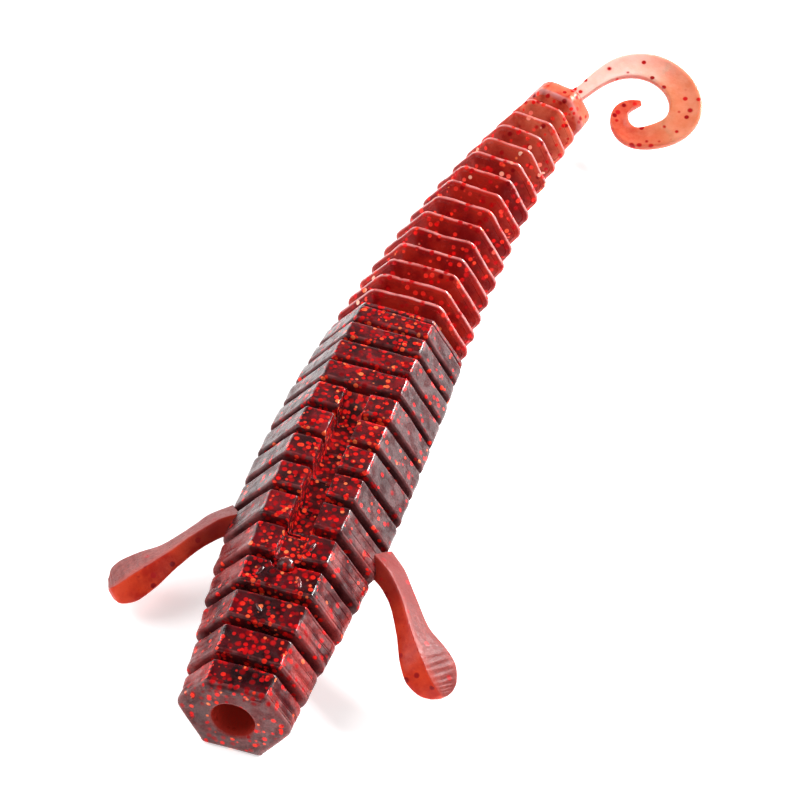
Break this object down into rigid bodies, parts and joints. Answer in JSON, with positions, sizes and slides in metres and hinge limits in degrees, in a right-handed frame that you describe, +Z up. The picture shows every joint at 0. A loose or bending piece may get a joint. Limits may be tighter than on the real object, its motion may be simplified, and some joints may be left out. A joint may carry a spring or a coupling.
{
  "type": "soft plastic worm",
  "caption": "Soft fishing worm with a ribbed hexagonal body, hook slot in its back, two swinging paddle legs, a finned rear and a curl tail.",
  "frame": {"origin": "on the flat belly under the middle of the widest rib, rib_07", "axes": "+Y runs along the straight front half of the body from nose to tail, +Z is up out of the back, +X is to the right of a viewer looking from nose to tail"},
  "size_m": [0.0307, 0.086, 0.0094],
  "materials": {
    "smoke_red_gel": "clear smoke-red gel with red flake, glossy",
    "clear_red_gel": "clear red gel with sparse flake, glossy",
    "leg_gel": "orange-red gel, satin",
    "tail_gel": "thin peach gel, glossy"
  },
  "bodies": {
    "slot_section": {"rib_05": "smoke_red_gel", "rib_06": "smoke_red_gel", "rib_07": "smoke_red_gel", "rib_08": "smoke_red_gel", "rib_09": "smoke_red_gel", "rib_10": "smoke_red_gel", "leg_root_left": "leg_gel", "leg_root_right": "leg_gel"},
    "neck": {"rib_03": "smoke_red_gel", "rib_04": "smoke_red_gel"},
    "head": {"nose_block": "smoke_red_gel", "rib_01": "smoke_red_gel", "rib_02": "smoke_red_gel"},
    "waist": {"rib_11": "smoke_red_gel", "rib_12": "smoke_red_gel"},
    "hip": {"rib_13": "smoke_red_gel"},
    "rear_1": {"fin_01": "clear_red_gel", "fin_02": "clear_red_gel"},
    "rear_2": {"fin_03": "clear_red_gel", "fin_04": "clear_red_gel"},
    "rear_3": {"fin_05": "clear_red_gel", "fin_06": "clear_red_gel"},
    "rear_4": {"fin_07": "clear_red_gel", "fin_08": "clear_red_gel"},
    "rear_5": {"fin_09": "clear_red_gel", "fin_10": "clear_red_gel"},
    "rear_6": {"fin_11": "clear_red_gel", "fin_12": "clear_red_gel"},
    "rear_7": {"fin_13": "clear_red_gel", "fin_14": "clear_red_gel", "tail_cap": "clear_red_gel"},
    "tail_stem": {"tail_stem": "tail_gel"},
    "tail_curl_outer": {"tail_curl_outer": "tail_gel"},
    "tail_curl_inner": {"tail_curl_inner": "tail_gel"},
    "tail_tip": {"tail_tip": "tail_gel"},
    "leg_left": {"leg_left": "leg_gel"},
    "leg_right": {"leg_right": "leg_gel"}
  },
  "joints": [
    {"name": "neck_nod", "type": "hinge", "parent": "slot_section", "child": "neck", "pos_m": [-0.00001, -0.00747, 0.00428], "axis": [-1, 0, 0], "range_deg": [-4, 4], "stiffness_Nm_per_rad": 0.003},
    {"name": "head_turn", "type": "hinge", "parent": "neck", "child": "head", "pos_m": [-0.00001, -0.01353, 0.00375], "axis": [0, 0, 1], "range_deg": [-4, 4], "stiffness_Nm_per_rad": 0.001},
    {"name": "waist_turn", "type": "hinge", "parent": "slot_section", "child": "waist", "pos_m": [0.0001, 0.0104, 0.00462], "axis": [0, 0, 1], "range_deg": [-4, 4], "stiffness_Nm_per_rad": 0.012},
    {"name": "hip_nod", "type": "hinge", "parent": "waist", "child": "hip", "pos_m": [0.00022, 0.01541, 0.00447], "axis": [0.9996, -0.0294, 0], "range_deg": [-4, 4], "stiffness_Nm_per_rad": 0.008},
    {"name": "rear_1_turn", "type": "hinge", "parent": "hip", "child": "rear_1", "pos_m": [0.00034, 0.01891, 0.00435], "axis": [0, 0, 1], "range_deg": [-10, 10]},
    {"name": "rear_2_nod", "type": "hinge", "parent": "rear_1", "child": "rear_2", "pos_m": [0.00055, 0.0234, 0.0042], "axis": [0.9986, -0.0526, 0], "range_deg": [-10, 10]},
    {"name": "rear_3_turn", "type": "hinge", "parent": "rear_2", "child": "rear_3", "pos_m": [0.00084, 0.02824, 0.00401], "axis": [0, 0, 1], "range_deg": [-10, 10]},
    {"name": "rear_4_nod", "type": "hinge", "parent": "rear_3", "child": "rear_4", "pos_m": [0.00126, 0.03343, 0.00378], "axis": [0.9958, -0.0911, 0], "range_deg": [-10, 10]},
    {"name": "rear_5_turn", "type": "hinge", "parent": "rear_4", "child": "rear_5", "pos_m": [0.00181, 0.0387, 0.00352], "axis": [0, 0, 1], "range_deg": [-10, 10]},
    {"name": "rear_6_nod", "type": "hinge", "parent": "rear_5", "child": "rear_6", "pos_m": [0.00249, 0.04396, 0.00323], "axis": [0.9897, -0.143, 0], "range_deg": [-10, 10]},
    {"name": "rear_7_turn", "type": "hinge", "parent": "rear_6", "child": "rear_7", "pos_m": [0.00333, 0.04919, 0.00291], "axis": [0, 0, 1], "range_deg": [-10, 10]},
    {"name": "tail_root_flutter", "type": "hinge", "parent": "rear_7", "child": "tail_stem", "pos_m": [0.00527, 0.05736, 0.0029], "axis": [0.9753, -0.2208, 0], "range_deg": [-20, 30], "stiffness_Nm_per_rad": 0.0001},
    {"name": "tail_curl_outer_flutter", "type": "hinge", "parent": "tail_stem", "child": "tail_curl_outer", "pos_m": [0.00914, 0.06161, 0.00472], "axis": [0.502, -0.827, -0.2532], "range_deg": [-16, 24]},
    {"name": "tail_curl_inner_flutter", "type": "hinge", "parent": "tail_curl_outer", "child": "tail_curl_inner", "pos_m": [0.01563, 0.05876, 0.00423], "axis": [-0.9493, -0.2642, -0.1701], "range_deg": [-16, 24]},
    {"name": "tail_tip_flutter", "type": "hinge", "parent": "tail_curl_inner", "child": "tail_tip", "pos_m": [0.01156, 0.05492, 0.00254], "axis": [0.3421, 0.8765, 0.3386], "range_deg": [-16, 24]},
    {"name": "leg_left_swing", "type": "hinge", "parent": "slot_section", "child": "leg_left", "pos_m": [-0.0084, -0.00761, 0.0041], "axis": [0, 0, -1], "range_deg": [-15, 35], "stiffness_Nm_per_rad": 0.0001},
    {"name": "leg_right_swing", "type": "hinge", "parent": "slot_section", "child": "leg_right", "pos_m": [0.0086, -0.00821, 0.0041], "axis": [0, 0, 1], "range_deg": [-15, 35], "stiffness_Nm_per_rad": 0.0001}
  ],
  "couplings": [
    {"joint": "rear_1_turn", "follows": "waist_turn", "ratio": 2.5},
    {"joint": "rear_2_nod", "follows": "hip_nod", "ratio": 2.5},
    {"joint": "rear_3_turn", "follows": "waist_turn", "ratio": 2.5},
    {"joint": "rear_4_nod", "follows": "hip_nod", "ratio": 2.5},
    {"joint": "rear_5_turn", "follows": "waist_turn", "ratio": 2.5},
    {"joint": "rear_6_nod", "follows": "hip_nod", "ratio": 2.5},
    {"joint": "rear_7_turn", "follows": "waist_turn", "ratio": 2.5},
    {"joint": "tail_curl_outer_flutter", "follows": "tail_root_flutter", "ratio": 0.8},
    {"joint": "tail_curl_inner_flutter", "follows": "tail_root_flutter", "ratio": 0.8},
    {"joint": "tail_tip_flutter", "follows": "tail_root_flutter", "ratio": 0.8}
  ]
}
